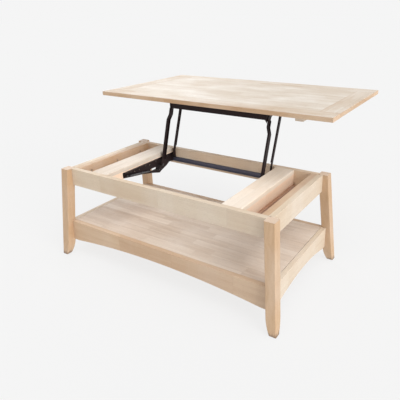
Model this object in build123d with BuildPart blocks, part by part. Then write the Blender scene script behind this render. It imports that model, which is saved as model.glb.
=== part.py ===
from build123d import *
import math
import os

# A lift top coffee table, drawn with its lid raised. Millimetres, +Z up. The origin is on the floor
# at the centre of the four legs. X runs along the table, and the lid rises and moves out towards +Y.

# ---------------------------------------------------------------- driving dimensions: wooden base
frame_height = 458.5       # floor to the flush tops of the legs and aprons
top_half_length = 558.8    # centre to the legs' outer faces at their tops, along X
top_half_width = 289.5     # the same along Y
splay = 48.4               # how far each leg leans outwards over its height, in X and in Y
leg_size = 44.0
foot_size = 31.0
foot_taper_height = 78.0   # the legs' inner faces curve in below this height
glide_height = 3.0
glide_radius = 10.0
arris = 1.5                # rounding of the boards' edges
leg_arris = 3.0

apron_height = 84.0
long_apron_inner = 242.0
long_apron_outer = 266.0
short_apron_outer = 536.0
short_apron_thickness = 24.0
inner_board_thickness = 28.0

rail_inner = 308.0         # inner faces of the two cross rails, where the lift mechanism is screwed on
rail_outer = 400.0
rail_board = 19.0
rail_inner_drop = 54.0     # height of a cross rail's inner side
rail_round = 4.0           # rounding of the cross rails' top edges
ledger_width = 12.0        # strips along the outer sides' feet, at the bottom of the end slots
ledger_height = 14.0

shelf_top = 187.0
shelf_thickness = 19.0
shelf_side_gap = 0.5
shelf_end_gap = 2.0        # room for movement at the shelf's two ends
lower_rail_bottom = 82.0
lower_rail_rise = 34.0     # rise of the arch under each lower rail
lower_rail_thickness = 22.0
long_rail_outer = 293.0
short_rail_outer = 566.0
arch_margin = 36.0         # straight length of a lower rail's bottom edge beside each leg
cleat_size = 18.0
long_cleat_length = 960.0
short_cleat_length = 440.0

dowel_radius = 4.0
dowel_length = 40.0
frame_screw_rows = (-174.0, 0.0, 174.0)
frame_screw_height = 427.0
pocket_radius = 5.5
pocket_depth = 6.0

# ---------------------------------------------------------------- driving dimensions: lid
lid_length = 1220.0
lid_width = 676.0
lid_thickness = 19.0
border_width = 83.0
bumper_height = 2.0
bumper_radius = 6.0
bumper_air = 0.3           # gap left under the bumpers when the lid is down
block_width = 38.0
block_length = 78.0
block_height = 40.0
block_place = (429.0, 230.0)

# ---------------------------------------------------------------- driving dimensions: lift mechanism
arm_length = 318.2         # pivot to pivot, the same for all four arms
raised_angle = 72.26       # of the arms above +Y, with the lid up
swing_angle = 102.8        # turn of the arms about +X from lid up to lid down
front_pivot = (129.5, 398.0)
rear_pivot = (229.5, 418.0)
lever_length = 35.0        # from a front arm's lower pivot to its spring pin
lever_angle = 210.1        # of that lever above +Y, with the lid up
spring_length = 221.6      # from the fixed anchor pin to the spring pin, with the lid up

plate_thickness = 2.5
front_arm_width = 24.0
front_arm_outer = 292.0    # outer face of the front arms' lower part
arm_crank = 16.0           # how far the front arms' upper ends are set inwards
crank_start = 233.0        # where that step begins and ends, along the arm
crank_end = 262.0
flange_depth = 8.0
flange_start = 30.0        # the front arms' flanges along the arm, from the lower pivot
flange_end = 298.0
lever_width = 17.0
rear_arm_width = 16.0
rear_arm_outer = 290.0
rear_arm_thickness = 4.0
rear_flange_depth = 3.0
rear_flange_length = 236.0
rear_arm_knee = (32.7, 9.3)      # the bend that clears the rear apron: along the pivot line and across it
bracket_outer = 272.5
bracket_flange = 32.5
rivet_radius = 4.0
rivet_head_radius = 8.0
rivet_head_height = 3.0
running_gap = 0.3
pivot_clearance = 0.05
bush_radius = 7.0
stud_radius = 3.0
stud_head_radius = 4.4
stud_head_height = 1.2
stop_radius = 4.0
stop_along = 26.0          # where the stop meets the front arm, from its lower pivot
spring_offset = 298.5      # distance of the springs' axes from the table's centre plane
spring_radius = 5.0
spring_bore = 3.4
spring_coil_start = 14.0   # along the spring's axis from the anchor pin
spring_coil_end = 150.0
hook_rod_radius = 1.2
hook_eye_radius = 4.5
bar_thickness = 3.0

# ---------------------------------------------------------------- derived dimensions
lean = splay / frame_height
apron_bottom = frame_height - apron_height
long_rail_inner = long_rail_outer - lower_rail_thickness
short_rail_inner = short_rail_outer - lower_rail_thickness
short_apron_inner = short_apron_outer - short_apron_thickness
inner_board_inner = short_apron_inner - inner_board_thickness
shelf_bottom = shelf_top - shelf_thickness
rail_board_bottom = frame_height - rail_board
plate_inner = rail_inner - plate_thickness
front_web_inner = front_arm_outer - plate_thickness
bracket_inner = bracket_outer - plate_thickness
sides = {"left": -1, "right": 1}
places = {"front": -1, "rear": 1}


def stepped(start, length, angle):
    """The (y, z) point a length away from start, at an angle above +Y."""
    turn = math.radians(angle)
    return start[0] + length * math.cos(turn), start[1] + length * math.sin(turn)


raised_end = stepped((0, 0), arm_length, raised_angle)
lowered_end = stepped((0, 0), arm_length, raised_angle + swing_angle)
lid_reach = raised_end[0] - lowered_end[0]
lid_rise = raised_end[1] - lowered_end[1]
lid_underside = frame_height + bumper_height + bumper_air + lid_rise
front_top_pivot = stepped(front_pivot, arm_length, raised_angle)
rear_top_pivot = stepped(rear_pivot, arm_length, raised_angle)
spring_pin = stepped(front_pivot, lever_length, lever_angle)
spring_angle = lever_angle + swing_angle / 2 + 90 - 360
spring_anchor = stepped(spring_pin, -spring_length, spring_angle)


def leg_inner(half_span, height):
    """Distance from the centre plane to a leg's inner face at a height."""
    return half_span - leg_size + lean * (frame_height - height)


def finish(part, node):
    """Label a finished piece and write it."""
    part.label = node
    export_step(part, f"parts/{node}.step")


def placed(piece, locations):
    """One group of equal pieces at the given locations."""
    with BuildPart() as group:
        for location in locations:
            add(piece.moved(location))
    return group.part


def screw(shank, length, head):
    """A pan head screw along +Z. Its head stands below the plane z = 0 and has a cross recess."""
    head_height = 0.65 * head
    with BuildPart() as one:
        with BuildSketch():
            Circle(shank)
        extrude(amount=length)
        with BuildSketch():
            Circle(head)
        extrude(amount=-head_height)
        fillet(one.faces().sort_by(Axis.Z)[0].edges(), 0.3 * head)
        with BuildSketch(Plane.XY.offset(-head_height)):
            Rectangle(1.1 * head, 0.26 * head)
            Rectangle(0.26 * head, 1.1 * head)
        extrude(amount=0.5 * head_height, mode=Mode.SUBTRACT)
    return one.part


os.makedirs("parts", exist_ok=True)


# ================================================================ dowels and wood screws
def dowel_locations():
    """Each dowel's centre and direction: rails and aprons into legs, cross rails into long aprons."""
    along_x = (0, 90, 0)
    along_y = (90, 0, 0)
    joints = []
    for sx in (-1, 1):
        for sy in (-1, 1):
            for z in (443.5, 403.5):
                joints.append(Location((sx * leg_inner(top_half_length, z), sy * 260, z), along_x))
            for z in (428.5, 388.5):
                joints.append(Location((sx * 528.5, sy * leg_inner(top_half_width, z), z), along_y))
            for z in (168.0, 112.0):
                y = (leg_inner(top_half_width, z) + long_rail_outer) / 2
                joints.append(Location((sx * leg_inner(top_half_length, z), sy * y, z), along_x))
            for z in (140.0, 98.0):
                x = (leg_inner(top_half_length, z) + short_rail_outer) / 2
                joints.append(Location((sx * x, sy * leg_inner(top_half_width, z), z), along_y))
            joints.append(Location((sx * (rail_inner + rail_board / 2), sy * long_apron_inner, 422), along_y))
            joints.append(Location((sx * (rail_outer - rail_board / 2), sy * long_apron_inner, 407), along_y))
    return joints


def shelf_screw_locations():
    """Upwards through the cleats into the shelf, and sideways through them into the lower rails."""
    low = shelf_bottom - cleat_size
    middle = shelf_bottom - cleat_size / 2
    spots = []
    for sy in (-1, 1):
        inner = long_rail_inner - cleat_size
        for x in (-360, 0, 360):
            spots.append(Location((x, sy * (inner + cleat_size / 2), low)))
        for x in (-200, 200):
            spots.append(Location((x, sy * inner, middle), (-sy * 90, 0, 0)))
    for sx in (-1, 1):
        inner = short_rail_inner - cleat_size
        for y in (-150, 150):
            spots.append(Location((sx * (inner + cleat_size / 2), y, low)))
        spots.append(Location((sx * inner, 0, middle), (0, sx * 90, 0)))
    return spots


dowel = Cylinder(dowel_radius, dowel_length)
dowels = placed(dowel, dowel_locations())
finish(dowels, "dowels")

frame_screw_spots = []
for sx in (-1, 1):
    for y in frame_screw_rows:
        x = sx * (inner_board_inner + pocket_depth)
        frame_screw_spots.append(Location((x, y, frame_screw_height), (0, sx * 90, 0)))
frame_screws = placed(screw(2.2, 38, 4.4), frame_screw_spots)
finish(frame_screws, "frame_screws")

shelf_screws = placed(screw(1.8, 30, 3.8), shelf_screw_locations())
finish(shelf_screws, "shelf_screws")

mechanism_screw_spots = []
for sx in (-1, 1):
    for y in (-90, 15, 95, 190):
        mechanism_screw_spots.append(Location((sx * plate_inner, y, 425), (0, sx * 90, 0)))
mechanism_screws = placed(screw(2.2, 18, 4.2), mechanism_screw_spots)
finish(mechanism_screws, "mechanism_screws")

lid_screw_spots = []
for sx in (-1, 1):
    for y in (218, 277, 336):
        x = sx * (bracket_inner - bracket_flange / 2 + 2)
        lid_screw_spots.append(Location((x, y, lid_underside - plate_thickness)))
lid_screws = placed(screw(2.2, 15, 4.2), lid_screw_spots)
finish(lid_screws, "lid_screws")


# ================================================================ legs and glides
def leg_outline(half_span):
    """One face of a leg: a straight leaning outer edge, and an inner edge that curves in at the foot."""
    outer_foot = half_span + lean * (frame_height - glide_height)
    inner_foot = outer_foot - foot_size
    inner_taper = leg_inner(half_span, foot_taper_height)
    Polyline(
        (inner_taper, foot_taper_height),
        (half_span - leg_size, frame_height),
        (half_span, frame_height),
        (outer_foot, glide_height),
        (inner_foot, glide_height),
    )
    TangentArc((inner_taper, foot_taper_height), (inner_foot, glide_height), tangent=(lean, -1))


for end, sx in sides.items():
    for place, sy in places.items():
        with BuildPart() as leg:
            with BuildSketch(Plane.XZ):
                with BuildLine():
                    leg_outline(top_half_length)
                make_face()
            extrude(amount=400, both=True)
            with BuildSketch(Plane.YZ):
                with BuildLine():
                    leg_outline(top_half_width)
                make_face()
            extrude(amount=700, both=True, mode=Mode.INTERSECT)
            fillet(leg.edges().filter_by(lambda edge: edge.length > 300), leg_arris)
            if sx < 0:
                mirror(about=Plane.YZ, mode=Mode.REPLACE)
            if sy < 0:
                mirror(about=Plane.XZ, mode=Mode.REPLACE)
            add(dowels, mode=Mode.SUBTRACT)
        finish(leg.part, f"leg_{place}_{end}")

glide_x = top_half_length + lean * (frame_height - glide_height) - foot_size / 2
glide_y = top_half_width + lean * (frame_height - glide_height) - foot_size / 2
with BuildPart() as glides:
    with BuildSketch():
        with GridLocations(2 * glide_x, 2 * glide_y, 2, 2):
            Circle(glide_radius)
    extrude(amount=glide_height)
    chamfer(glides.faces().filter_by(Axis.Z).group_by(Axis.Z)[0].edges(), 1)
finish(glides.part, "foot_glides")


# ================================================================ aprons
def rail_ends(half_span, low, high):
    """The corners of a board's end edges where it fits between two leaning legs."""
    low_end = leg_inner(half_span, low)
    high_end = leg_inner(half_span, high)
    return (low_end, low), (high_end, high), (-high_end, high), (-low_end, low)


for place, sy in places.items():
    with BuildPart() as long_apron:
        with BuildSketch(Plane.XZ.offset(-sy * long_apron_inner)):
            with BuildLine():
                Polyline(*rail_ends(top_half_length, apron_bottom, frame_height), close=True)
            make_face()
        extrude(amount=-sy * (long_apron_outer - long_apron_inner))
        fillet(long_apron.edges().filter_by(Axis.X), arris)
        add(dowels, mode=Mode.SUBTRACT)
    finish(long_apron.part, f"apron_{place}")

for end, sx in sides.items():
    with BuildPart() as short_apron:
        with BuildSketch(Plane.YZ.offset(sx * short_apron_inner)):
            with BuildLine():
                Polyline(*rail_ends(top_half_width, apron_bottom, frame_height), close=True)
            make_face()
        extrude(amount=sx * short_apron_thickness)
        fillet(short_apron.edges().filter_by(Axis.Y).group_by(Axis.X)[0 if sx < 0 else -1], arris)
        with BuildSketch(Plane.XY.offset(apron_bottom)):
            with GridLocations(0, long_apron_inner + long_apron_outer, 1, 2):
                Rectangle(2 * leg_inner(top_half_length, apron_bottom), long_apron_outer - long_apron_inner)
        extrude(amount=apron_height, mode=Mode.SUBTRACT)
        add(dowels, mode=Mode.SUBTRACT)
        add(frame_screws, mode=Mode.SUBTRACT)
    finish(short_apron.part, f"apron_{end}")

    with BuildPart() as inner_board:
        with BuildSketch(Plane.YZ.offset(sx * inner_board_inner)):
            with Locations((0, frame_height - apron_height / 2)):
                Rectangle(2 * long_apron_inner, apron_height)
        extrude(amount=sx * inner_board_thickness)
        fillet(inner_board.edges().filter_by(Axis.Y).group_by(Axis.X)[-1 if sx < 0 else 0], arris)
        with BuildSketch(Plane.YZ.offset(sx * inner_board_inner)):
            with Locations([(y, frame_screw_height) for y in frame_screw_rows]):
                Circle(pocket_radius)
        extrude(amount=sx * pocket_depth, mode=Mode.SUBTRACT)
        add(frame_screws, mode=Mode.SUBTRACT)
    finish(inner_board.part, f"apron_inner_board_{end}")


# ================================================================ cross rails that carry the mechanism
rail_boards = {
    "top": (rail_inner, rail_outer, rail_board_bottom, frame_height),
    "inner_side": (rail_inner, rail_inner + rail_board, frame_height - rail_inner_drop, rail_board_bottom),
    "outer_side": (rail_outer - rail_board, rail_outer, apron_bottom, rail_board_bottom),
}
for end, sx in sides.items():
    for name, (inner, outer, low, high) in rail_boards.items():
        with BuildPart() as rail_piece:
            with BuildSketch(Plane.YZ.offset(sx * inner)):
                with Locations((0, (low + high) / 2)):
                    Rectangle(2 * long_apron_inner, high - low)
            extrude(amount=sx * (outer - inner))
            if name == "top":
                fillet(rail_piece.edges().filter_by(Axis.Y).group_by(Axis.Z)[-1], rail_round)
            add(dowels, mode=Mode.SUBTRACT)
            add(mechanism_screws, mode=Mode.SUBTRACT)
        finish(rail_piece.part, f"cross_rail_{name}_{end}")

with BuildPart() as slot_ledgers:
    with BuildSketch(Plane.XY.offset(apron_bottom)):
        with GridLocations(2 * rail_outer + ledger_width, 0, 2, 1):
            Rectangle(ledger_width, 2 * long_apron_inner)
    extrude(amount=ledger_height)
finish(slot_ledgers.part, "slot_ledgers")


# ================================================================ lower rails, shelf and cleats
def arched_outline(half_span):
    """A lower rail's face: ends that meet the leaning legs, a level top and an arched bottom edge."""
    foot, top, far_top, far_foot = rail_ends(half_span, lower_rail_bottom, shelf_top)
    arch_end = foot[0] - arch_margin
    Polyline((arch_end, lower_rail_bottom), foot, top, far_top, far_foot, (-arch_end, lower_rail_bottom))
    ThreePointArc(
        (-arch_end, lower_rail_bottom),
        (0, lower_rail_bottom + lower_rail_rise),
        (arch_end, lower_rail_bottom),
    )


for place, sy in places.items():
    with BuildPart() as long_rail:
        with BuildSketch(Plane.XZ.offset(-sy * long_rail_inner)):
            with BuildLine():
                arched_outline(top_half_length)
            make_face()
        extrude(amount=-sy * lower_rail_thickness)
        outer_edges = long_rail.edges().filter_by(Axis.X).group_by(Axis.Y)[0 if sy < 0 else -1]
        fillet(outer_edges.group_by(Axis.Z)[-1], arris)
        add(dowels, mode=Mode.SUBTRACT)
        add(shelf_screws, mode=Mode.SUBTRACT)
    finish(long_rail.part, f"lower_rail_{place}")

for end, sx in sides.items():
    with BuildPart() as short_rail:
        with BuildSketch(Plane.YZ.offset(sx * short_rail_inner)):
            with BuildLine():
                arched_outline(top_half_width)
            make_face()
        extrude(amount=sx * lower_rail_thickness)
        outer_edges = short_rail.edges().filter_by(Axis.Y).group_by(Axis.X)[0 if sx < 0 else -1]
        fillet(outer_edges.group_by(Axis.Z)[-1], arris)
        for sy in (-1, 1):
            with BuildSketch(Plane.XZ.offset(-sy * long_rail_inner)):
                with BuildLine():
                    Polyline(*rail_ends(top_half_length, lower_rail_bottom, shelf_top), close=True)
                make_face()
            extrude(amount=-sy * lower_rail_thickness, mode=Mode.SUBTRACT)
        add(dowels, mode=Mode.SUBTRACT)
        add(shelf_screws, mode=Mode.SUBTRACT)
    finish(short_rail.part, f"lower_rail_{end}")

shelf_half_length = short_rail_inner - shelf_end_gap
shelf_half_width = long_rail_inner - shelf_side_gap
with BuildPart() as shelf:
    with BuildSketch(Plane.XY.offset(shelf_bottom)):
        Rectangle(2 * shelf_half_length, 2 * shelf_half_width)
    extrude(amount=shelf_thickness)
    add(shelf_screws, mode=Mode.SUBTRACT)
finish(shelf.part, "shelf_panel")

with BuildPart() as long_cleats:
    with BuildSketch(Plane.XY.offset(shelf_bottom - cleat_size)):
        with GridLocations(0, 2 * long_rail_inner - cleat_size, 1, 2):
            Rectangle(long_cleat_length, cleat_size)
    extrude(amount=cleat_size)
    add(shelf_screws, mode=Mode.SUBTRACT)
finish(long_cleats.part, "shelf_cleats_long")

with BuildPart() as short_cleats:
    with BuildSketch(Plane.XY.offset(shelf_bottom - cleat_size)):
        with GridLocations(2 * short_rail_inner - cleat_size, 0, 2, 1):
            Rectangle(cleat_size, short_cleat_length)
    extrude(amount=cleat_size)
    add(shelf_screws, mode=Mode.SUBTRACT)
finish(short_cleats.part, "shelf_cleats_short")


# ================================================================ lid: a panel in a border of four strips
panel_length = lid_length - 2 * border_width
panel_width = lid_width - 2 * border_width

with BuildPart() as panel:
    with BuildSketch(Plane.XY.offset(lid_underside)):
        with Locations((0, lid_reach)):
            Rectangle(panel_length, panel_width)
    extrude(amount=lid_thickness)
    add(lid_screws, mode=Mode.SUBTRACT)
finish(panel.part, "lid_panel")

for place, sy in places.items():
    with BuildPart() as long_border:
        with BuildSketch(Plane.XY.offset(lid_underside)):
            with Locations((0, lid_reach + sy * (lid_width - border_width) / 2)):
                Rectangle(lid_length, border_width)
        extrude(amount=lid_thickness)
        outer = long_border.edges().filter_by(Axis.X).group_by(Axis.Y)[0 if sy < 0 else -1]
        fillet(outer, arris)
        add(lid_screws, mode=Mode.SUBTRACT)
    finish(long_border.part, f"lid_border_{place}")

for end, sx in sides.items():
    with BuildPart() as end_border:
        with BuildSketch(Plane.XY.offset(lid_underside)):
            with Locations((sx * (lid_length - border_width) / 2, lid_reach)):
                Rectangle(border_width, panel_width)
        extrude(amount=lid_thickness)
        outer = end_border.edges().filter_by(Axis.Y).group_by(Axis.X)[0 if sx < 0 else -1]
        fillet(outer, arris)
    finish(end_border.part, f"lid_border_{end}")

with BuildPart() as locating_block:
    with BuildSketch(Plane.XY.offset(lid_underside)):
        with Locations(block_place):
            Rectangle(block_width, block_length)
    extrude(amount=-block_height)
    chamfer(locating_block.faces().sort_by(Axis.Z)[0].edges(), 2)
finish(locating_block.part, "lid_locating_block")

with BuildPart() as bumpers:
    with BuildSketch(Plane.XY.offset(lid_underside)):
        with Locations((0, lid_reach)):
            with GridLocations(2 * top_half_length - leg_size, 2 * top_half_width - leg_size, 2, 2):
                Circle(bumper_radius)
    extrude(amount=-bumper_height)
finish(bumpers.part, "lid_bumpers")


# ================================================================ lift mechanism: pivots and plates
def spindles(ends, spots):
    """Turned pieces along X at (y, z) points, on the given sides of the table.

    Each spot is a point and its steps. A step is a radius and the distances from the centre plane
    between which it stands, and the steps of one piece touch.
    """
    with BuildPart() as group:
        for side in ends:
            for point, steps in spots:
                for radius, inner, outer in steps:
                    with BuildSketch(Plane.YZ.offset(side * inner)):
                        with Locations(point):
                            Circle(radius)
                    extrude(amount=side * (outer - inner))
    return group.part


head_rim = 0.7 * rivet_head_height
head_crown = rivet_head_radius - 1.6
both = (-1, 1)
rear_web_inner = rear_arm_outer - rear_arm_thickness
upper_web_outer = front_arm_outer - arm_crank
upper_web_inner = upper_web_outer - plate_thickness

lower_front_head = front_web_inner - running_gap
lower_rear_head = rear_web_inner - running_gap
lower_rivet_spots = (
    (front_pivot, (
        (head_crown, lower_front_head - rivet_head_height, lower_front_head),
        (rivet_head_radius, lower_front_head - head_rim, lower_front_head),
        (rivet_radius, lower_front_head, rail_inner),
    )),
    (rear_pivot, (
        (head_crown, lower_rear_head - rivet_head_height, lower_rear_head),
        (rivet_head_radius, lower_rear_head - head_rim, lower_rear_head),
        (rivet_radius, lower_rear_head, rail_inner),
    )),
)
lower_rivets = spindles(both, lower_rivet_spots)
finish(lower_rivets, "lower_rivets")

with BuildPart() as lower_bushes:
    add(spindles(both, (
        (front_pivot, ((bush_radius, front_arm_outer + running_gap, plate_inner),)),
        (rear_pivot, ((bush_radius, rear_arm_outer + running_gap, plate_inner),)),
    )))
    add(lower_rivets, mode=Mode.SUBTRACT)
finish(lower_bushes.part, "lower_bushes")

upper_front_head = upper_web_outer + running_gap
upper_rear_head = rear_arm_outer + running_gap
inner_head = (
    (head_crown, bracket_inner - rivet_head_height, bracket_inner),
    (rivet_head_radius, bracket_inner - head_rim, bracket_inner),
)
upper_rivet_spots = (
    (front_top_pivot, inner_head + (
        (rivet_radius, bracket_inner, upper_front_head),
        (rivet_head_radius, upper_front_head, upper_front_head + head_rim),
        (head_crown, upper_front_head, upper_front_head + rivet_head_height),
    )),
    (rear_top_pivot, inner_head + (
        (rivet_radius, bracket_inner, upper_rear_head),
        (rivet_head_radius, upper_rear_head, upper_rear_head + head_rim),
        (head_crown, upper_rear_head, upper_rear_head + rivet_head_height),
    )),
)
upper_rivets = spindles(both, upper_rivet_spots)
finish(upper_rivets, "upper_rivets")

with BuildPart() as upper_bushes:
    add(spindles(both, (
        (front_top_pivot, ((bush_radius, bracket_outer, upper_web_inner - running_gap),)),
        (rear_top_pivot, ((bush_radius, bracket_outer, rear_web_inner - running_gap),)),
    )))
    add(upper_rivets, mode=Mode.SUBTRACT)
finish(upper_bushes.part, "upper_bushes")

anchor_head = front_arm_outer + 1
anchor_pins = spindles(both, ((spring_anchor, (
    (stud_head_radius, anchor_head, anchor_head + stud_head_height),
    (stud_radius, anchor_head + stud_head_height, rail_inner),
)),))
finish(anchor_pins, "spring_anchor_pins")

stop_beside = stepped(front_pivot, stop_along, raised_angle)
stop_point = stepped(stop_beside, front_arm_width / 2 + stop_radius, raised_angle - 90)
arm_stops = spindles(both, ((stop_point, (
    (stop_radius, rear_arm_outer + 0.5, plate_inner),
    (stud_radius, plate_inner, rail_inner),
)),))
finish(arm_stops, "arm_stops")

plate_top = 434.0
plate_outline = (
    (-142, plate_top), (240.5, plate_top), (240.5, 386), (205, 391.5), (176, 376.5), (136, 363),
    (118, 354.5), (63, 370), (-13, 387), (-110, 402), (-142, 408),
)
plate_flange_span = (-135.0, 100.0)
plate_flange_inner = 294.0
plate_window = (70.0, 389.0)
plate_hole_radius = 2.5
plate_hole_height = 419.0
plate_hole_rows = (-62.0, -30.0, 48.0, 158.0)
for end, sx in sides.items():
    with BuildPart() as base_plate:
        with BuildSketch(Plane.YZ.offset(sx * plate_inner)) as web:
            with BuildLine():
                Polyline(*plate_outline, close=True)
            make_face()
            fillet(web.vertices().group_by(Axis.Y)[0], 10)
            fillet(web.vertices().group_by(Axis.Y)[-1], 4)
            with Locations(plate_window):
                SlotOverall(44, 10, mode=Mode.SUBTRACT)
            with Locations([(y, plate_hole_height) for y in plate_hole_rows]):
                Circle(plate_hole_radius, mode=Mode.SUBTRACT)
        extrude(amount=sx * plate_thickness)
        with BuildSketch(Plane.YZ.offset(sx * plate_flange_inner)):
            with Locations((sum(plate_flange_span) / 2, plate_top - plate_thickness / 2)):
                Rectangle(plate_flange_span[1] - plate_flange_span[0], plate_thickness)
        extrude(amount=sx * (plate_inner - plate_flange_inner))
        for pins in (lower_rivets, anchor_pins, arm_stops, mechanism_screws):
            add(pins, mode=Mode.SUBTRACT)
    finish(base_plate.part, f"base_plate_{end}")

lower_bar_place = (237.5, 389.0)
lower_bar_foot = 9.0
with BuildPart() as lower_bar:
    with BuildSketch(Plane.YZ):
        with Locations(lower_bar_place):
            Rectangle(bar_thickness, 22, align=(Align.MIN, Align.MIN))
            with Locations((bar_thickness, 0)):
                Rectangle(lower_bar_foot, bar_thickness, align=(Align.MAX, Align.MIN))
    extrude(amount=plate_inner, both=True)
finish(lower_bar.part, "lower_cross_bar")


# ================================================================ lift mechanism: arms
def arm_side(pivot):
    """The plane through a pivot with its x along the arm and its z along the table."""
    turn = math.radians(raised_angle)
    return Plane(origin=(0, *pivot), x_dir=(0, math.cos(turn), math.sin(turn)), z_dir=(1, 0, 0))


def arm_edge(pivot):
    """The plane that looks at an arm's narrow edge: x along the arm, y towards -X."""
    turn = math.radians(raised_angle)
    along = (0, math.cos(turn), math.sin(turn))
    return Plane(origin=(0, *pivot), x_dir=along, z_dir=(0, -math.sin(turn), math.cos(turn)))


def front_flanges(side):
    """The two edge flanges of a front arm, which step inwards with it."""
    upper_outer = upper_web_inner + flange_depth
    with BuildPart() as pair:
        with BuildSketch(arm_side(front_pivot)):
            with Locations(((flange_start + flange_end) / 2, 0)):
                with GridLocations(0, front_arm_width - plate_thickness, 1, 2):
                    Rectangle(flange_end - flange_start, plate_thickness)
        extrude(amount=side * rail_inner)
        with BuildSketch(arm_edge(front_pivot)):
            with BuildLine():
                Polyline(
                    (flange_start, -side * front_arm_outer),
                    (crank_start, -side * front_arm_outer),
                    (crank_end, -side * upper_outer),
                    (flange_end - flange_depth, -side * upper_outer),
                    (flange_end, -side * upper_web_outer),
                    (flange_end, -side * upper_web_inner),
                    (crank_end, -side * upper_web_inner),
                    (crank_start, -side * (front_arm_outer - flange_depth)),
                    (flange_start, -side * (front_arm_outer - flange_depth)),
                    close=True,
                )
            make_face()
        extrude(amount=100, both=True, mode=Mode.INTERSECT)
    return pair.part


hole = rivet_radius + pivot_clearance
lever_turn = lever_angle - raised_angle
for end, sx in sides.items():
    pin = spindles((sx,), ((spring_pin, (
        (stud_radius, front_web_inner, 302.3),
        (stud_head_radius, 302.3, 302.3 + stud_head_height),
    )),))
    finish(pin, f"spring_pin_{end}")

    with BuildPart() as front_arm:
        with BuildSketch(arm_side(front_pivot)):
            with Locations((arm_length / 2, 0)):
                SlotCenterToCenter(arm_length, front_arm_width)
            with Locations(stepped((0, 0), lever_length / 2, lever_turn)):
                SlotCenterToCenter(lever_length, lever_width, rotation=lever_turn)
            with Locations((0, 0), (arm_length, 0)):
                Circle(hole, mode=Mode.SUBTRACT)
        extrude(amount=sx * rail_inner)
        with BuildSketch(arm_edge(front_pivot)):
            with BuildLine():
                Polyline(
                    (-60, -sx * front_arm_outer),
                    (crank_start, -sx * front_arm_outer),
                    (crank_end, -sx * upper_web_outer),
                    (arm_length + 20, -sx * upper_web_outer),
                    (arm_length + 20, -sx * upper_web_inner),
                    (crank_end, -sx * upper_web_inner),
                    (crank_start, -sx * front_web_inner),
                    (-60, -sx * front_web_inner),
                    close=True,
                )
            make_face()
        extrude(amount=100, both=True, mode=Mode.INTERSECT)
        add(front_flanges(sx))
        add(pin, mode=Mode.SUBTRACT)
    finish(front_arm.part, f"front_arm_{end}")

    with BuildPart() as rear_arm:
        with BuildSketch(arm_side(rear_pivot).offset(sx * rear_web_inner)):
            for start, stop in (((0, 0), rear_arm_knee), (rear_arm_knee, (arm_length, 0))):
                step = Vector(*stop) - Vector(*start)
                with Locations(Vector(*start) + step / 2):
                    turn = math.degrees(math.atan2(step.Y, step.X))
                    SlotCenterToCenter(step.length, rear_arm_width, rotation=turn)
            with Locations((0, 0), (arm_length, 0)):
                Circle(hole, mode=Mode.SUBTRACT)
        extrude(amount=sx * rear_arm_thickness)
        with BuildSketch(arm_side(rear_pivot).offset(sx * (rear_web_inner - rear_flange_depth))):
            with Locations(Vector(*start) + step / 2):
                with Locations(Rotation(0, 0, turn)):
                    with GridLocations(0, rear_arm_width - plate_thickness, 1, 2):
                        Rectangle(rear_flange_length, plate_thickness)
        extrude(amount=sx * rear_flange_depth)
    finish(rear_arm.part, f"rear_arm_{end}")


# ================================================================ lift mechanism: top brackets
bracket_outline = (
    (200, lid_underside), (350, lid_underside), (350, 709), (300, 706), (250, 688), (240, 674),
    (205, 674), (200, 680),
)
bracket_span = (200.0, 350.0)
for end, sx in sides.items():
    with BuildPart() as top_bracket:
        with BuildSketch(Plane.YZ.offset(sx * bracket_inner)) as web:
            with BuildLine():
                Polyline(*bracket_outline, close=True)
            make_face()
            fillet(web.vertices().group_by(Axis.Z)[:-1], 3)
        extrude(amount=sx * plate_thickness)
        with BuildSketch(Plane.YZ.offset(sx * (bracket_outer - bracket_flange))):
            with Locations((sum(bracket_span) / 2, lid_underside - plate_thickness / 2)):
                Rectangle(bracket_span[1] - bracket_span[0], plate_thickness)
        extrude(amount=sx * (bracket_flange - plate_thickness))
        add(upper_rivets, mode=Mode.SUBTRACT)
        add(lid_screws, mode=Mode.SUBTRACT)
    finish(top_bracket.part, f"top_bracket_{end}")

upper_bar_place = (205.0, 680.0)
gusset_width = 9.0         # the bar's corner gussets, beside the brackets
gusset_height = 14.0
with BuildPart() as upper_bar:
    with BuildSketch(Plane.YZ):
        with Locations(upper_bar_place):
            Rectangle(bar_thickness, 26, align=(Align.MIN, Align.MIN))
            Rectangle(20, bar_thickness, align=(Align.MIN, Align.MIN))
    extrude(amount=bracket_inner, both=True)
    bar_y, bar_z = upper_bar_place
    with BuildSketch(Plane.XZ.offset(-bar_y)):
        for sx in (-1, 1):
            with BuildLine():
                Polyline(
                    (sx * bracket_inner, bar_z),
                    (sx * (bracket_inner - gusset_width), bar_z),
                    (sx * bracket_inner, bar_z - gusset_height),
                    close=True,
                )
            make_face()
    extrude(amount=-bar_thickness)
finish(upper_bar.part, "upper_cross_bar")


# ================================================================ lift mechanism: springs
def spring_hook(origin, towards, rod_end):
    """A loop round a pin at the origin, a straight rod and the plate-like last turn of the coil."""
    axis = (0, math.cos(math.radians(towards)), math.sin(math.radians(towards)))
    along = Plane(origin=origin, z_dir=axis)
    with BuildPart() as hook:
        with Locations(Plane(origin=origin, z_dir=(1, 0, 0))):
            Torus(hook_eye_radius, hook_rod_radius)
        with BuildSketch(along.offset(hook_eye_radius)):
            Circle(hook_rod_radius)
        extrude(amount=rod_end - hook_eye_radius)
        with BuildSketch(along.offset(rod_end - 2 * hook_rod_radius)):
            Circle(spring_radius)
        extrude(amount=2 * hook_rod_radius)
    return hook.part


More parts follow.
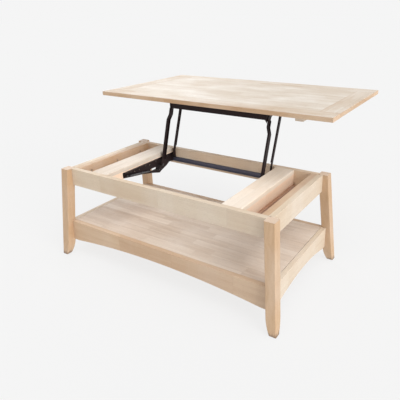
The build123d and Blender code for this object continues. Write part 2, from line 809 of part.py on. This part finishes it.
for end, sx in sides.items():
    anchor = (sx * spring_offset, *spring_anchor)
    line = (0, math.cos(math.radians(spring_angle)), math.sin(math.radians(spring_angle)))
    with BuildPart() as coil:
        with BuildSketch(Plane(origin=anchor, z_dir=line).offset(spring_coil_start)):
            Circle(spring_radius)
            Circle(spring_bore, mode=Mode.SUBTRACT)
        extrude(amount=spring_coil_end - spring_coil_start)
    finish(coil.part, f"spring_coil_{end}")
    rod = spring_length - spring_coil_end
    finish(spring_hook((sx * spring_offset, *spring_pin), spring_angle + 180, rod), f"spring_hook_{end}")

with BuildPart() as anchor_hooks:
    for sx in both:
        add(spring_hook((sx * spring_offset, *spring_anchor), spring_angle, spring_coil_start))
finish(anchor_hooks.part, "spring_anchor_hooks")
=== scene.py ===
import math

import bpy
from mathutils import Matrix, Vector


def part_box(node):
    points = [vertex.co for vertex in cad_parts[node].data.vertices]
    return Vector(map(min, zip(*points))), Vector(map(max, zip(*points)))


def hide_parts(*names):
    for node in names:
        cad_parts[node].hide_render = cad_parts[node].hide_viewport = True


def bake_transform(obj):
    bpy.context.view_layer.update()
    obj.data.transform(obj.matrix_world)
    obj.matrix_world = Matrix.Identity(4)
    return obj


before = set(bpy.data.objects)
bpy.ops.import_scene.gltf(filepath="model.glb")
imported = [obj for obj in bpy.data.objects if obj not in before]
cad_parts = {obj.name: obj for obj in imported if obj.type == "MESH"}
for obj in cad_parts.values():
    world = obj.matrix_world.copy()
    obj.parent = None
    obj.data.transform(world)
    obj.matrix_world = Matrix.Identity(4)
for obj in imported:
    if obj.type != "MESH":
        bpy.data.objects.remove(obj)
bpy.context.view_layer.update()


# ---------------------------------------------------------------- camera, floor and light
def photo_camera():
    """A camera that stands to the right of the table's front, above the raised lid."""
    place = Vector((1.0940, -1.4619, 1.1237))
    yaw = math.radians(32.519)
    pitch = math.radians(26.183)
    roll = math.radians(-0.855)
    ahead = Vector((-math.sin(yaw) * math.cos(pitch), math.cos(yaw) * math.cos(pitch), -math.sin(pitch)))
    level = Vector((math.cos(yaw), math.sin(yaw), 0.0))
    above = level.cross(ahead)
    right = level * math.cos(roll) + above * math.sin(roll)
    up = above * math.cos(roll) - level * math.sin(roll)
    data = bpy.data.cameras.new("photo_camera")
    data.sensor_width = 36.0
    data.lens = 37.55
    data.shift_x = -0.0571
    data.shift_y = 0.0373
    data.clip_start = 0.05
    data.clip_end = 200.0
    camera = bpy.data.objects.new("photo_camera", data)
    bpy.context.scene.collection.objects.link(camera)
    turn = Matrix((right, up, -ahead)).transposed().to_4x4()
    camera.matrix_world = Matrix.Translation(place) @ turn
    bpy.context.scene.camera = camera


def sun(name, source, strength, angle, colour=(1.0, 1.0, 1.0)):
    """A soft distant lamp that shines from the direction of source, as wide as angle in degrees."""
    data = bpy.data.lights.new(name, "SUN")
    data.energy = strength
    data.angle = math.radians(angle)
    data.color = colour
    lamp = bpy.data.objects.new(name, data)
    bpy.context.scene.collection.objects.link(lamp)
    lamp.rotation_mode = "QUATERNION"
    lamp.rotation_quaternion = (-Vector(source)).to_track_quat("-Z", "Y")


def studio():
    """A soft key from above, a side lamp, a weak fill and a low sheen from behind, in pale surroundings."""
    sun("key", (0.30, -0.05, 1.0), 1.9, 60)
    sun("side", (1.0, -0.30, 0.40), 1.7, 40, (1.0, 0.99, 0.97))
    sun("fill", (-0.5, -1.0, 0.35), 0.30, 60)
    sun("sheen", (-1.6, 1.5, 0.45), 0.75, 30)
    surroundings = (0.40, 0.405, 0.41, 1.0)
    backdrop = (0.912, 0.912, 0.912, 1.0)
    world = bpy.data.worlds.new("studio")
    world.use_nodes = True
    bpy.context.scene.world = world
    tree = world.node_tree
    lighting = tree.nodes["Background"]
    lighting.inputs["Color"].default_value = surroundings
    seen = tree.nodes.new("ShaderNodeBackground")
    seen.inputs["Color"].default_value = backdrop
    path = tree.nodes.new("ShaderNodeLightPath")
    mix = tree.nodes.new("ShaderNodeMixShader")
    tree.links.new(path.outputs["Is Camera Ray"], mix.inputs[0])
    tree.links.new(lighting.outputs[0], mix.inputs[1])
    tree.links.new(seen.outputs[0], mix.inputs[2])
    tree.links.new(mix.outputs[0], tree.nodes["World Output"].inputs["Surface"])
    bpy.context.scene.view_settings.view_transform = "Standard"


# ---------------------------------------------------------------- node trees
class Shader:
    """A material whose nodes are made by short calls. An input may be a number, a colour or a socket."""

    def __init__(self, name):
        self.material = bpy.data.materials.new(name)
        self.material.use_nodes = True
        self.tree = self.material.node_tree
        self.surface = self.tree.nodes["Principled BSDF"]

    def put(self, socket, value):
        """Links a socket to an input, or sets the input to a number or a colour."""
        if isinstance(value, bpy.types.NodeSocket):
            self.tree.links.new(value, socket)
        elif isinstance(value, tuple) and len(value) == 3 and socket.type == "RGBA":
            socket.default_value = (*value, 1.0)
        else:
            socket.default_value = value

    def set(self, name, value):
        """Feeds one input of the material's surface."""
        self.put(self.surface.inputs[name], value)

    def node(self, kind, inputs, output=0, **settings):
        """Makes a node and gives one of its outputs."""
        made = self.tree.nodes.new(kind)
        for name, value in settings.items():
            setattr(made, name, value)
        for key, value in inputs.items():
            self.put(made.inputs[key], value)
        return made.outputs[output]

    def math(self, operation, first, second=0.0, third=0.0):
        return self.node("ShaderNodeMath", {0: first, 1: second, 2: third}, operation=operation)

    def plus(self, first, second):
        return self.math("ADD", first, second)

    def minus(self, first, second):
        return self.math("SUBTRACT", first, second)

    def times(self, first, second):
        return self.math("MULTIPLY", first, second)

    def times_plus(self, first, second, third):
        return self.math("MULTIPLY_ADD", first, second, third)

    def mix(self, factor, first, second, blend="MIX"):
        """Mixes two colours. The node's inputs 6 and 7 are its colours, and its output 2 is their mix."""
        inputs = {0: factor, 6: first, 7: second}
        return self.node("ShaderNodeMix", inputs, 2, data_type="RGBA", blend_type=blend)

    def ramp(self, value, low, high, to_low=0.0, to_high=1.0):
        """Goes from to_low to to_high as the value goes from low to high, and stays level beyond them."""
        inputs = {"Value": value, "From Min": low, "From Max": high, "To Min": to_low, "To Max": to_high}
        return self.node("ShaderNodeMapRange", inputs, clamp=True)

    def noise(self, vector, scale=1.0, detail=3.0, roughness=0.5, distortion=0.0):
        inputs = {"Vector": vector, "Scale": scale, "Detail": detail, "Roughness": roughness}
        inputs["Distortion"] = distortion
        return self.node("ShaderNodeTexNoise", inputs)

    def combine(self, x, y, z=0.0):
        return self.node("ShaderNodeCombineXYZ", {0: x, 1: y, 2: z})

    def split(self, vector):
        """The three coordinates of a vector."""
        made = self.tree.nodes.new("ShaderNodeSeparateXYZ")
        self.put(made.inputs[0], vector)
        return made.outputs[0], made.outputs[1], made.outputs[2]

    def stretch(self, place, scales, shifts=(0.0, 0.0, 0.0)):
        """The point whose coordinates are those of place, each scaled and then shifted."""
        return self.combine(*(self.times_plus(*each) for each in zip(place, scales, shifts)))

    def place(self):
        """The coordinates of the point on the piece, in metres."""
        return self.split(self.node("ShaderNodeTexCoord", {}, "Object"))

    def facing(self):
        """The coordinates of the direction that the surface faces."""
        return self.split(self.node("ShaderNodeTexCoord", {}, "Normal"))

    def bump(self, height, strength, distance):
        inputs = {"Height": height, "Strength": strength, "Distance": distance}
        self.set("Normal", self.node("ShaderNodeBump", inputs))


def scaled(colour, factor):
    """The same colour, made darker or paler."""
    return tuple(factor * part for part in colour)


# ---------------------------------------------------------------- wood
along_x = 0
along_y = 1
along_z = 2

# The scales of the wood's figure, in the order along the grain, across it and into the piece, per metre.
streak_scales = (2.4, 46.0, 46.0)
fine_scales = (14.0, 420.0, 420.0)
pore_scales = (130.0, 1500.0, 1500.0)
warp_scales = (1.7, 1.0, 1.0)
blotch_scales = (4.0, 9.0, 1.0)
ring_scale = 900.0
speckle_scale = 900.0

# How far below the origin the rows and blocks start, in metres, so that all their numbers are positive.
row_start = 3.013
block_start = 5.0

# The teeth of the finger joints.
half_tooth = 0.0022
tooth_slope = 3.6

sanding_dust = (0.86, 0.83, 0.79)
glue_line = (0.42, 0.27, 0.17)
# Painted shade: the side faces of the lid's boards are multiplied by this so that they look shaded.
painted_side_shade = (0.93, 0.77, 0.62)
# Upright pieces are made darker towards the floor with this colour.
foot_darkening = (0.20, 0.13, 0.09)


def cut_into_blocks(shader, run, across, stave, block, seed):
    """Rows as wide as a stave, each cut into finger-jointed blocks, or left whole where block is None.

    Gives a random number that is the same all over a block, and how dark the joints are.
    """
    row_place = shader.plus(across, row_start + 0.01 * seed)
    row = shader.math("FLOOR", shader.math("DIVIDE", row_place, stave))
    row_edge = shader.math("PINGPONG", row_place, stave / 2)
    seam = shader.ramp(row_edge, 0.0, 0.0005, 0.55, 0.0)
    number = 0.0
    if block:
        row_key = shader.plus(row, seed)
        row_chance = shader.node("ShaderNodeTexWhiteNoise", {"W": row_key}, noise_dimensions="1D")
        shifted = shader.plus(run, shader.times(row_chance, block))
        teeth = shader.math("PINGPONG", across, half_tooth)
        toothed = shader.times_plus(teeth, tooth_slope, shifted)
        block_place = shader.math("DIVIDE", shader.plus(toothed, block_start + 0.37 * seed), block)
        number = shader.math("FLOOR", block_place)
        block_edge = shader.math("PINGPONG", shader.times(block_place, block), block / 2)
        seam = shader.math("MAXIMUM", seam, shader.ramp(block_edge, 0.0, 0.0004, 0.5, 0.0))
    block_key = shader.combine(shader.plus(row, 0.31), shader.plus(number, seed))
    chance = shader.node("ShaderNodeTexWhiteNoise", {"Vector": block_key}, noise_dimensions="2D")
    return chance, seam


def grain_figure(shader, grain_place, stave, chance):
    """The streaks, fine lines, growth rings and pores of the wood, which differ from block to block."""
    run, across, depth = grain_place
    shift = shader.times(chance, 19.0)
    streak_place = shader.stretch(grain_place, streak_scales, (0.0, shift, shift))
    fine_place = shader.stretch(grain_place, fine_scales, (0.0, shift, 0.0))
    pore_place = shader.stretch(grain_place, pore_scales, (0.0, shift, 0.0))
    streak = shader.noise(streak_place, 1.0, 5.0, 0.6, 0.35)
    fine = shader.noise(fine_place, 1.0, 2.0, 0.6)
    pores = shader.ramp(shader.noise(pore_place, 1.0, 1.0, 0.4), 0.60, 0.72)
    warp = shader.noise(shader.stretch(grain_place, warp_scales), 6.0, 2.0, 0.5)
    ring_across = shader.times_plus(warp, 0.06, shader.math("PINGPONG", across, stave))
    ring_depth = shader.plus(depth, shader.times_plus(chance, 0.06, 0.05))
    squares = shader.plus(shader.math("POWER", ring_across, 2.0), shader.math("POWER", ring_depth, 2.0))
    rings = shader.math("SINE", shader.times(shader.math("SQRT", squares), ring_scale))
    return streak, fine, rings, pores


def joint_line(shader, x, y, side_face, rim):
    """How dark the thin line is round the outline of a board, on the faces that lie flat."""
    low, high = rim
    to_x = shader.math("MINIMUM", shader.minus(x, low.x), shader.minus(high.x, x))
    to_y = shader.math("MINIMUM", shader.minus(y, low.y), shader.minus(high.y, y))
    line = shader.ramp(shader.math("MINIMUM", to_x, to_y), 0.0004, 0.0016, 0.6, 0.0)
    return shader.times(line, shader.minus(1.0, side_face))


def end_grain(shader, across, depth, rings, tones):
    """The colour of the sanded cut ends, with rings and a fine speckle."""
    light, dark = tones
    speckle_place = shader.combine(shader.times(across, speckle_scale), shader.times(depth, speckle_scale))
    speckle = shader.noise(speckle_place, 1.0, 2.0)
    pattern = shader.times_plus(rings, 0.18, shader.ramp(speckle, 0.3, 0.7, 0.1, 0.75))
    sanded = tuple(0.45 + 0.45 * part for part in light)
    return shader.mix(pattern, sanded, scaled(dark, 1.25))


def darker_near_floor(shader, height, streak):
    """How much darker an upright piece is just above the floor, up to an uneven edge."""
    dark_edge = shader.times_plus(shader.ramp(streak, 0.3, 0.7), 0.03, 0.006)
    darkness = shader.minus(1.0, shader.math("DIVIDE", height, dark_edge))
    return shader.ramp(darkness, 0.0, 0.7, 0.0, 0.75)


def wood(name, along, tones, stave=0.12, block=None, contrast=0.5, seed=0.0, dust=0.25, rim=None):
    """Bare sanded hardwood, glued up from staves whose grain runs along one axis.

    Tones are the light and the dark colour, and stave and block are the width of a stave and the length of
    its blocks. Wood that stands upright is darker towards the floor. A rim is the box of a board of the
    lid:
    its side faces are then darker, a painted shade, and a thin line runs along its joints.
    """
    shader = Shader(name)
    x, y, z = shader.place()
    grain_place = ((x, y, z), (y, x, z), (z, x, y))[along]
    run, across, depth = grain_place
    chance, seam = cut_into_blocks(shader, run, across, stave, block, seed)
    streak, fine, rings, pores = grain_figure(shader, grain_place, stave, chance)
    light, dark = tones

    tone = shader.ramp(chance, 0.0, 1.0, 0.5 - contrast / 2, 0.5 + contrast / 2)
    grain = shader.times_plus(shader.ramp(streak, 0.3, 0.72), 0.45, shader.times(tone, 0.62))
    grain = shader.times_plus(rings, 0.055, grain)
    grain = shader.times_plus(shader.minus(fine, 0.5), 0.38, grain)
    colour = shader.mix(shader.ramp(grain, 0.1, 1.0), light, dark)
    blotch = shader.noise(shader.stretch(grain_place, blotch_scales), 1.0, 4.0, 0.6)
    colour = shader.mix(shader.ramp(blotch, 0.42, 0.72, 0.0, dust), colour, sanding_dust)
    colour = shader.mix(shader.times(pores, 0.28), colour, scaled(dark, 0.45))
    colour = shader.mix(seam, colour, scaled(dark, 0.42))

    facing = shader.facing()
    end = shader.ramp(shader.math("ABSOLUTE", facing[along]), 0.72, 0.9)
    if rim:
        side_face = shader.ramp(shader.math("ABSOLUTE", facing[2]), 0.3, 0.7, 1.0, 0.0)
        colour = shader.mix(joint_line(shader, x, y, side_face, rim), colour, glue_line)
    colour = shader.mix(shader.times(end, 0.85), colour, end_grain(shader, across, depth, rings, tones))
    if rim:
        # Painted shade: the side faces of the lid's boards are made darker than their tops.
        colour = shader.mix(side_face, colour, painted_side_shade, "MULTIPLY")
    if along == along_z:
        # Upright pieces are darker towards the floor, up to an uneven edge.
        colour = shader.mix(darker_near_floor(shader, z, streak), colour, foot_darkening)

    shader.set("Base Color", colour)
    shader.set("Roughness", shader.ramp(grain, 0.0, 1.0, 0.5, 0.66))
    shader.set("Specular IOR Level", 0.35)
    relief = shader.plus(shader.times(pores, -0.6), shader.times(seam, -1.0))
    shader.bump(shader.times_plus(fine, 0.35, relief), 0.55, 0.00025)
    return shader.material


# ---------------------------------------------------------------- metal, rubber and plastic
def coated_steel(name, colour, warm, rough, gloss):
    """Stamped steel under a thin satin coat, with faint orange peel, dust and rubbed patches."""
    shader = Shader(name)
    place = shader.place()
    point = shader.combine(*place)
    peel = shader.noise(point, 900.0, 2.0)
    cloud = shader.noise(point, 22.0, 4.0, 0.6)
    dust = shader.ramp(shader.noise(point, 260.0, 4.0, 0.7), 0.58, 0.70)
    scratch = shader.ramp(shader.noise(shader.stretch(place, (30.0, 400.0, 90.0)), 1.0, 2.0), 0.66, 0.72)
    base = shader.mix(shader.ramp(cloud, 0.3, 0.7), colour, warm)
    base = shader.mix(shader.times(dust, 0.5), base, (0.08, 0.052, 0.048))
    base = shader.mix(shader.times(scratch, 0.25), base, scaled(colour, 4.0))
    shader.set("Base Color", base)
    shader.set("Roughness", shader.ramp(cloud, 0.25, 0.75, rough - 0.08, rough + 0.14))
    shader.set("Specular IOR Level", gloss)
    shader.set("Specular Tint", (1.0, 0.84, 0.86))
    shader.bump(peel, 0.12, 0.0002)
    return shader.material


def bare_steel(name, colour, rough=0.32):
    """Plated or oiled steel with fine turning marks and dull patches."""
    shader = Shader(name)
    place = shader.place()
    marks = shader.noise(shader.stretch(place, (1500.0, 1.0, 1.0)), 1.0, 2.0)
    cloud = shader.noise(shader.combine(*place), 160.0, 3.0, 0.6)
    shader.set("Base Color", shader.mix(shader.ramp(cloud, 0.35, 0.7), colour, scaled(colour, 0.55)))
    shader.set("Metallic", 1.0)
    shader.set("Roughness", shader.ramp(cloud, 0.3, 0.7, rough, rough + 0.2))
    shader.bump(marks, 0.1, 0.0001)
    return shader.material


def moulded(name, colour, rough):
    """Moulded rubber or plastic with a fine matte texture and slightly uneven colour."""
    shader = Shader(name)
    point = shader.combine(*shader.place())
    skin = shader.noise(point, 1400.0, 2.0)
    cloud = shader.noise(point, 90.0, 3.0)
    shader.set("Base Color", shader.mix(shader.ramp(cloud, 0.3, 0.7), colour, scaled(colour, 0.78)))
    shader.set("Roughness", shader.ramp(skin, 0.2, 0.8, rough - 0.1, rough + 0.1))
    shader.bump(skin, 0.2, 0.0001)
    return shader.material


def studio_floor():
    """A wide pale floor that takes a soft shadow."""
    shader = Shader("pale_floor")
    shader.set("Base Color", (0.11, 0.11, 0.11))
    shader.set("Roughness", 0.9)
    shader.set("Specular IOR Level", 0.0)
    shader.set("Emission Color", (1.0, 1.0, 1.0))
    shader.set("Emission Strength", 0.775)
    half = 60.0
    corners = [(-half, -half, 0), (half, -half, 0), (half, half, 0), (-half, half, 0)]
    mesh = bpy.data.meshes.new("studio_floor")
    mesh.from_pydata(corners, [], [(0, 1, 2, 3)])
    mesh.materials.append(shader.material)
    floor = bpy.data.objects.new("studio_floor", mesh)
    floor.location.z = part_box("foot_glides")[0].z
    bpy.context.scene.collection.objects.link(floor)


# ---------------------------------------------------------------- finishes for the carried-over nodes
# The light and the dark tone of each wood.
cream = (0.67, 0.60, 0.515)
tan = (0.58, 0.44, 0.31)
lid_tones = (cream, (0.56, 0.45, 0.345))
border_tones = (cream, (0.52, 0.375, 0.25))
pale_tones = ((0.72, 0.61, 0.48), tan)
front_apron_tones = ((0.69, 0.575, 0.44), tan)
rear_apron_tones = ((0.74, 0.595, 0.45), (0.60, 0.43, 0.29))
leg_tones = ((0.63, 0.44, 0.28), (0.48, 0.30, 0.17))
russet_tones = ((0.64, 0.47, 0.315), (0.50, 0.32, 0.20))
# Painted light: the cross rail's sides are much paler than their wood so that they look lit inside the
# slots, where they stand in shade.
slot_painted_light_tones = ((0.94, 0.74, 0.57), (0.84, 0.60, 0.43))
left_top_tones = ((0.74, 0.65, 0.56), (0.60, 0.49, 0.39))
right_top_tones = ((0.88, 0.77, 0.66), (0.72, 0.59, 0.46))
# Painted shade: the slot ledgers are made very dark so that they stand for the deep shade at the bottom of
# the slots.
ledger_painted_shade_tones = ((0.42, 0.23, 0.14), (0.30, 0.15, 0.09))
shelf_tones = ((0.73, 0.62, 0.52), (0.54, 0.415, 0.32))


def lid_woods():
    """The lid's centre panel, and the strips of its border with the grain along each."""
    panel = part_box("lid_panel")
    woods = {
        "lid_panel": wood("lid_staves", along_x, lid_tones, 0.048, 0.55, seed=1.0, dust=0.6, rim=panel),
        "lid_locating_block": wood("block_wood", along_y, pale_tones, 0.06, contrast=0.4, seed=6.0),
    }
    strips = {
        "lid_border_front": (along_x, 0.21),
        "lid_border_rear": (along_x, 0.24),
        "lid_border_left": (along_y, 0.23),
        "lid_border_right": (along_y, 0.26),
    }
    half_width = 0.0415
    for seed, (node, (along, block)) in enumerate(strips.items(), 2):
        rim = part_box(node)
        woods[node] = wood(node, along, border_tones, half_width, block, 0.75, float(seed), 0.4, rim)
    return woods


def base_woods():
    """The legs, aprons, rails and shelf of the base."""
    return {
        "leg": wood("leg_wood", along_z, leg_tones, 0.3, contrast=0.35, seed=7.0, dust=0.15),
        "apron_front": wood("front_apron", along_x, front_apron_tones, block=0.34, seed=8.0),
        "apron_rear": wood("rear_apron", along_x, rear_apron_tones, block=0.30, seed=9.0),
        "apron_left": wood("left_apron", along_y, pale_tones, block=0.28, seed=10.0),
        "apron_right": wood("right_apron", along_y, pale_tones, block=0.30, seed=11.0),
        "apron_inner_board": wood("inner_board", along_y, russet_tones, seed=12.0),
        # The cross rail's sides carry painted light, paler so that they look lit in the shaded slots.
        "cross_rail": wood("cross_rail_side", along_y, slot_painted_light_tones, 0.06, 0.34, seed=22.0),
        "cross_rail_top_right": wood("right_rail_top", along_y, right_top_tones, 0.05, 0.30, seed=13.0),
        "cross_rail_top_left": wood("left_rail_top", along_y, left_top_tones, 0.05, 0.34, seed=23.0),
        # The ledgers' dark colour is painted shade.
        "slot_ledgers": wood("ledger_painted_shade", along_y, ledger_painted_shade_tones, 0.08, contrast=0.6),
        "lower_rail_front": wood("front_rail", along_x, russet_tones, block=0.31, seed=14.0, dust=0.12),
        "lower_rail_rear": wood("rear_rail", along_x, russet_tones, block=0.33, seed=15.0),
        "lower_rail_left": wood("left_rail", along_y, pale_tones, block=0.33, seed=16.0),
        "lower_rail_right": wood("right_rail", along_y, pale_tones, block=0.29, seed=17.0),
        "shelf_panel": wood("shelf_staves", along_x, shelf_tones, 0.042, 0.26, 0.7, seed=18.0),
        "shelf_cleats_long": wood("long_cleat", along_x, russet_tones, 0.05, contrast=0.4, seed=19.0),
        "shelf_cleats_short": wood("short_cleat", along_y, russet_tones, 0.05, contrast=0.4, seed=20.0),
        "dowels": wood("dowel_wood", along_x, pale_tones, 0.03, contrast=0.3, seed=21.0),
    }


def fitting_finishes(spring):
    """The steel of the lift mechanism, the screws, and the small rubber and plastic pieces."""
    black = coated_steel("black_coat", (0.010, 0.0065, 0.0072), (0.020, 0.0105, 0.0115), 0.5, 0.22)
    blue_black = coated_steel("blue_black_coat", (0.055, 0.062, 0.095), (0.066, 0.074, 0.115), 0.36, 0.5)
    rivet = bare_steel("dark_plated_steel", (0.11, 0.10, 0.10))
    zinc = bare_steel("zinc_screws", (0.62, 0.60, 0.55), 0.3)
    return {
        "base_plate": black,
        "lower_cross_bar": blue_black,
        "upper_cross_bar": black,
        "top_bracket": black,
        "front_arm": black,
        "rear_arm": black,
        "lower_rivets": rivet,
        "upper_rivets": rivet,
        "lower_bushes": rivet,
        "upper_bushes": rivet,
        "spring_pin": rivet,
        "spring_anchor_pins": rivet,
        "spring_hook": spring,
        "spring_anchor_hooks": spring,
        "spring_coil": spring,
        "frame_screws": zinc,
        "shelf_screws": zinc,
        "lid_screws": zinc,
        "mechanism_screws": rivet,
        "arm_stops": moulded("stop_rubber", (0.02, 0.02, 0.02), 0.7),
        "lid_bumpers": moulded("clear_bumper", (0.70, 0.70, 0.66), 0.4),
        "foot_glides": moulded("brown_nylon", (0.20, 0.15, 0.11), 0.5),
    }


def dress(spring):
    """Gives every node the finish whose key is the longest that its name starts with."""
    finishes = lid_woods() | base_woods() | fitting_finishes(spring)
    for node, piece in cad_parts.items():
        key = max((start for start in finishes if node.startswith(start)), key=len)
        for slot in piece.material_slots:
            slot.material = finishes[key]


# ---------------------------------------------------------------- springs
spring_slope = math.radians(-8.5)
wire_radius = 0.0008
turn_gap = 0.00035
points_per_turn = 14


def coil_curve(name, middle, line, half, radius):
    """A close round winding about a line, from half a length before its middle to half a length after."""
    across = Vector((0.0, -line.z, line.y))
    turns = int(2 * half / (2 * wire_radius + turn_gap))
    count = turns * points_per_turn + 1
    curve = bpy.data.curves.new(name, "CURVE")
    curve.dimensions = "3D"
    curve.bevel_depth = wire_radius
    curve.bevel_resolution = 1
    spline = curve.splines.new("POLY")
    spline.points.add(count - 1)
    for i in range(count):
        angle = 2 * math.pi * i / points_per_turn
        along = -half + wire_radius + (2 * half - 2 * wire_radius) * i / (count - 1)
        ring = Vector((math.cos(angle), 0.0, 0.0)) + across * math.sin(angle)
        spline.points[i].co = (*(middle + line * along + ring * (radius - wire_radius)), 1.0)
    return curve


def coil_spring(side, steel):
    """The wound part of one extension spring, in place of the plain tube."""
    low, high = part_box(f"spring_coil_{side}")
    radius = (high.x - low.x) / 2
    middle = (low + high) / 2
    line = Vector((0.0, math.cos(spring_slope), math.sin(spring_slope)))
    half = ((high.y - low.y) - 2 * radius * abs(line.z)) / 2 / line.y
    made = bpy.data.objects.new(f"coil_{side}", coil_curve(f"coil_{side}", middle, line, half, radius))
    bpy.context.scene.collection.objects.link(made)
    mesh = bpy.data.meshes.new_from_object(made)
    bpy.data.objects.remove(made)
    mesh.materials.clear()
    mesh.materials.append(steel)
    mesh.shade_smooth()
    piece = bpy.data.objects.new(f"spring_turns_{side}", mesh)
    bpy.context.scene.collection.objects.link(piece)
    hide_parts(f"spring_coil_{side}")
    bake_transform(piece)


photo_camera()
studio()
studio_floor()
spring_steel = bare_steel("oiled_spring_steel", (0.20, 0.20, 0.21), 0.26)
dress(spring_steel)
for side in ("left", "right"):
    coil_spring(side, spring_steel)
